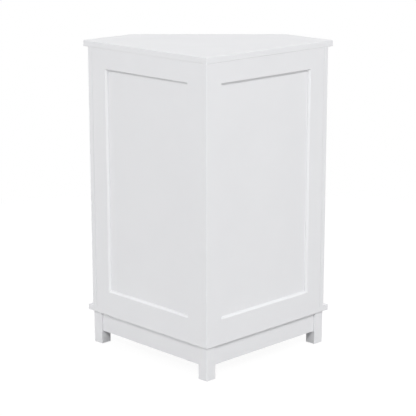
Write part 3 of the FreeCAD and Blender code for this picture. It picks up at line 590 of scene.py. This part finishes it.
def beech_finish():
    """Bare turned beech with short flecks along the dowels."""
    material, tree, shader = new_material("bare_beech")
    vector = stretched(tree, object_place(tree), BEECH_STRETCH)
    grain = place_group(tree, BRUSHING, {"Vector": vector})["Height"]
    share = spread_out(tree, grain, *BEECH_GRAIN_RANGE)
    tree.links.new(mix_colours(tree, share, BEECH_TONE, BEECH_LIGHT), shader.inputs["Base Color"])
    shader.inputs["Roughness"].default_value = BEECH_ROUGHNESS
    bump(tree, shader, grain, BEECH_RELIEF)
    return material


knob_low, knob_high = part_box("door_knob")
knob_middle = (knob_low + knob_high) / 2

FINISHES = {
    "white_paint": paint_finish(),
    "hinge_steel": brushed_finish(
        "satin_nickel_hinge",
        tone=(0.45, 0.435, 0.41, 1),
        shade=(0.36, 0.348, 0.325, 1),
        stretch=(1500, 1500, 40),
    ),
    "knob_nickel": brushed_finish(
        "turned_nickel_knob",
        tone=(0.44, 0.425, 0.40, 1),
        shade=(0.35, 0.338, 0.315, 1),
        stretch=(2200, 1200, 1),
        centre=knob_middle,
        turned=True,
    ),
    "plated_steel": grained_finish(
        "zinc_plated_steel",
        tone=(0.64, 0.65, 0.66, 1),
        shade=(0.56, 0.56, 0.55, 1),
        grain=2500.0,
        roughness=0.3,
        metal=1.0,
        relief=0.00001,
    ),
    "zinc": grained_finish(
        "die_cast_zinc",
        tone=(0.46, 0.46, 0.47, 1),
        shade=(0.38, 0.38, 0.39, 1),
        grain=1800.0,
        roughness=0.42,
        metal=1.0,
        relief=0.00004,
    ),
    "catch_plastic": grained_finish(
        "white_catch_plastic",
        tone=(0.74, 0.74, 0.73, 1),
        shade=(0.71, 0.71, 0.70, 1),
        grain=1500.0,
        roughness=0.5,
    ),
    "magnet": grained_finish(
        "dark_ceramic_magnet",
        tone=(0.035, 0.035, 0.04, 1),
        shade=(0.02, 0.02, 0.022, 1),
        grain=2200.0,
        roughness=0.55,
    ),
    "glide_plastic": grained_finish(
        "white_glide_plastic",
        tone=(0.70, 0.70, 0.68, 1),
        shade=(0.66, 0.66, 0.64, 1),
        grain=1500.0,
        roughness=0.45,
    ),
    "dowel_wood": beech_finish(),
}

for part in frame["record"]["subparts"]:
    for slot in frame["nodes"][part["node"]].material_slots:
        slot.material = FINISHES[part["material_slot"]]


# Hardware pieces in place

SCREW_STEP = math.radians(37)  # turn from one screw or cam to the next, so that no two stop alike

cam = make_cam()
shelf_pin = make_shelf_pin()
sunk_screw = make_sunk_screw()
catch_screw = make_pan_screw(radius=0.003, height=0.002, shank=SHANK_RADIUS, length=0.022)
knob_screw = make_pan_screw(radius=0.004, height=0.0024, shank=0.002, length=0.025)
glide = make_glide()

fit_out("round_cam_locks", cam, "cam_locks", cam_place, "carcass", "zinc", SCREW_STEP)
fit_out("turned_shelf_pins", shelf_pin, "shelf_pins", pin_place, "carcass", "plated_steel")
for node, body, master in (
    ("hinge_frame_screws", "carcass", sunk_screw),
    ("hinge_door_screws", "door", sunk_screw),
    ("strike_screws", "door", sunk_screw),
    ("catch_screws", "carcass", catch_screw),
    ("knob_screw", "door", knob_screw),
):
    fit_out("recessed_" + node, master, node, screw_place, body, "plated_steel", SCREW_STEP)
fit_out("domed_foot_glides", glide, "foot_glides", glide_place, "carcass", "glide_plastic")

knob = make_knob()
knob.data.transform(stand((knob_middle.x, knob_high.y, knob_middle.z), (0, -1, 0)))
knob.name = "turned_door_knob"
knob.data.materials.append(FINISHES["knob_nickel"])
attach(knob, "door")
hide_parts("door_knob")

for master in (cam, shelf_pin, sunk_screw, catch_screw, knob_screw, glide):
    bpy.data.objects.remove(master)


# Floor, light and camera

WHITE = (1, 1, 1, 1)
FLOOR_SIZE = 30.0
FLOOR_NEAR = 0.6  # from the middle, where the floor begins to fade into the white
FLOOR_FAR = 1.8
FLOOR_SHADOW = 0.2  # share of the lit floor seen near the cabinet; the rest is plain white
FLOOR_LIFT = 1.17  # white near the cabinet, so that the lit floor and the white together make white
FLOOR_TONE = (0.5, 0.5, 0.5, 1)  # sets how much light comes back from below
WORLD_LIGHT = 0.18
LAMP_AIM = (0, 0, 0.45)
LAMP_SIDE = 3.2  # of the square softboxes
DOOR_LAMP_SIDE = 1.6
CAMERA_PLACE = Vector((-0.0432, 3.6135, 1.2951))
CAMERA_AIM = Vector((-0.0007, -0.0009, 0.3872))
CAMERA_ROLL = math.radians(-0.056)
CAMERA_LENS = 127.68  # millimetres
CAMERA_SENSOR = 36.0


def seen_directly(tree):
    """1 for rays from the eye, straight or by a mirror or glass, and 0 for the light that bounces."""
    path = put(tree, "LightPath").outputs
    total = sum_of(tree, path["Is Camera Ray"], path["Is Glossy Ray"], path["Is Transmission Ray"])
    return put(tree, "Math", {0: total, 1: 1.0}, operation="MINIMUM").outputs[0]


def make_floor():
    """Plain pale floor that keeps a soft shadow."""
    bpy.ops.object.select_all(action="DESELECT")
    bpy.ops.mesh.primitive_plane_add(size=FLOOR_SIZE)
    floor = bpy.context.object
    floor.name = "pale_floor"
    material, tree, shader = new_material("pale_floor_paint")
    shader.inputs["Base Color"].default_value = FLOOR_TONE
    shader.inputs["Roughness"].default_value = 1.0
    shader.inputs["Specular IOR Level"].default_value = 0.0
    distance = put(tree, "VectorMath", {0: object_place(tree)}, operation="LENGTH").outputs["Value"]
    lift = spread_out(tree, distance, FLOOR_NEAR, FLOOR_FAR, FLOOR_LIFT, 1.0)
    white = put(tree, "Emission", {"Color": WHITE, "Strength": lift})
    plain = spread_out(tree, distance, FLOOR_NEAR, FLOOR_FAR, 1.0 - FLOOR_SHADOW, 1.0)
    share = times(tree, seen_directly(tree), plain)
    both = put(tree, "MixShader", {0: share, 1: shader.outputs[0], 2: white.outputs[0]})
    tree.links.new(both.outputs[0], tree.nodes["Material Output"].inputs["Surface"])
    floor.data.materials.append(material)


def make_world():
    """Even studio light, seen as plain white."""
    world = bpy.data.worlds.new("studio")
    bpy.context.scene.world = world
    world.use_nodes = True
    tree = world.node_tree
    light = tree.nodes["Background"]
    light.inputs["Color"].default_value = WHITE
    light.inputs["Strength"].default_value = WORLD_LIGHT
    white = put(tree, "Background", {"Color": WHITE, "Strength": 1.0})
    both = put(tree, "MixShader", {0: seen_directly(tree), 1: light.outputs[0], 2: white.outputs[0]})
    tree.links.new(both.outputs[0], tree.nodes["World Output"].inputs["Surface"])


def look_at(thing, place, aim):
    """Put a lamp or camera at a place, looking at a point."""
    thing.location = place
    thing.rotation_mode = "QUATERNION"
    thing.rotation_quaternion = (Vector(aim) - Vector(place)).to_track_quat("-Z", "Y")


def add_softbox(name, place, power, width=LAMP_SIDE, height=LAMP_SIDE, mirrored=True):
    """Flat lamp that looks at the cabinet, with its power in watts, mirrored in its surfaces or not."""
    lamp = bpy.data.lights.new(name, "AREA")
    lamp.shape = "RECTANGLE"
    lamp.size = width
    lamp.size_y = height
    lamp.energy = power
    softbox = bpy.data.objects.new(name, lamp)
    bpy.context.scene.collection.objects.link(softbox)
    look_at(softbox, place, LAMP_AIM)
    softbox.visible_glossy = mirrored


make_floor()
make_world()
add_softbox("key_softbox", (0, 8.5, 6.8), 458.0, width=4.8, height=1.6)
add_softbox("right_low_softbox", (7.0, 7.0, 3.2), 188.0)
add_softbox("left_low_softbox", (-7.0, 7.0, 3.2), 152.0)
add_softbox("right_high_softbox", (5.6, 5.6, 8.0), 86.0)
add_softbox("left_high_softbox", (-5.6, 5.6, 8.0), 320.0)
add_softbox("right_side_softbox", (9.2, 1.6, 4.4), 132.0)
add_softbox("left_side_softbox", (-9.2, 1.6, 4.4), 41.0)
# Mirrored in the top, the door lamps would turn it white as seen from the wall side
for side in (-1, 1):
    door_lamp_place = (3.4 * side, -3.4, 2.0)
    add_softbox("door_softbox", door_lamp_place, 100.0, DOOR_LAMP_SIDE, DOOR_LAMP_SIDE, mirrored=False)

camera_data = bpy.data.cameras.new("camera")
camera_data.lens = CAMERA_LENS
camera_data.sensor_width = CAMERA_SENSOR
camera = bpy.data.objects.new("camera", camera_data)
bpy.context.scene.collection.objects.link(camera)
look_at(camera, CAMERA_PLACE, CAMERA_AIM)
roll = Matrix.Rotation(CAMERA_ROLL, 3, "Z").to_quaternion()
camera.rotation_quaternion = camera.rotation_quaternion @ roll
bpy.context.scene.camera = camera
bpy.context.scene.view_settings.view_transform = "Standard"
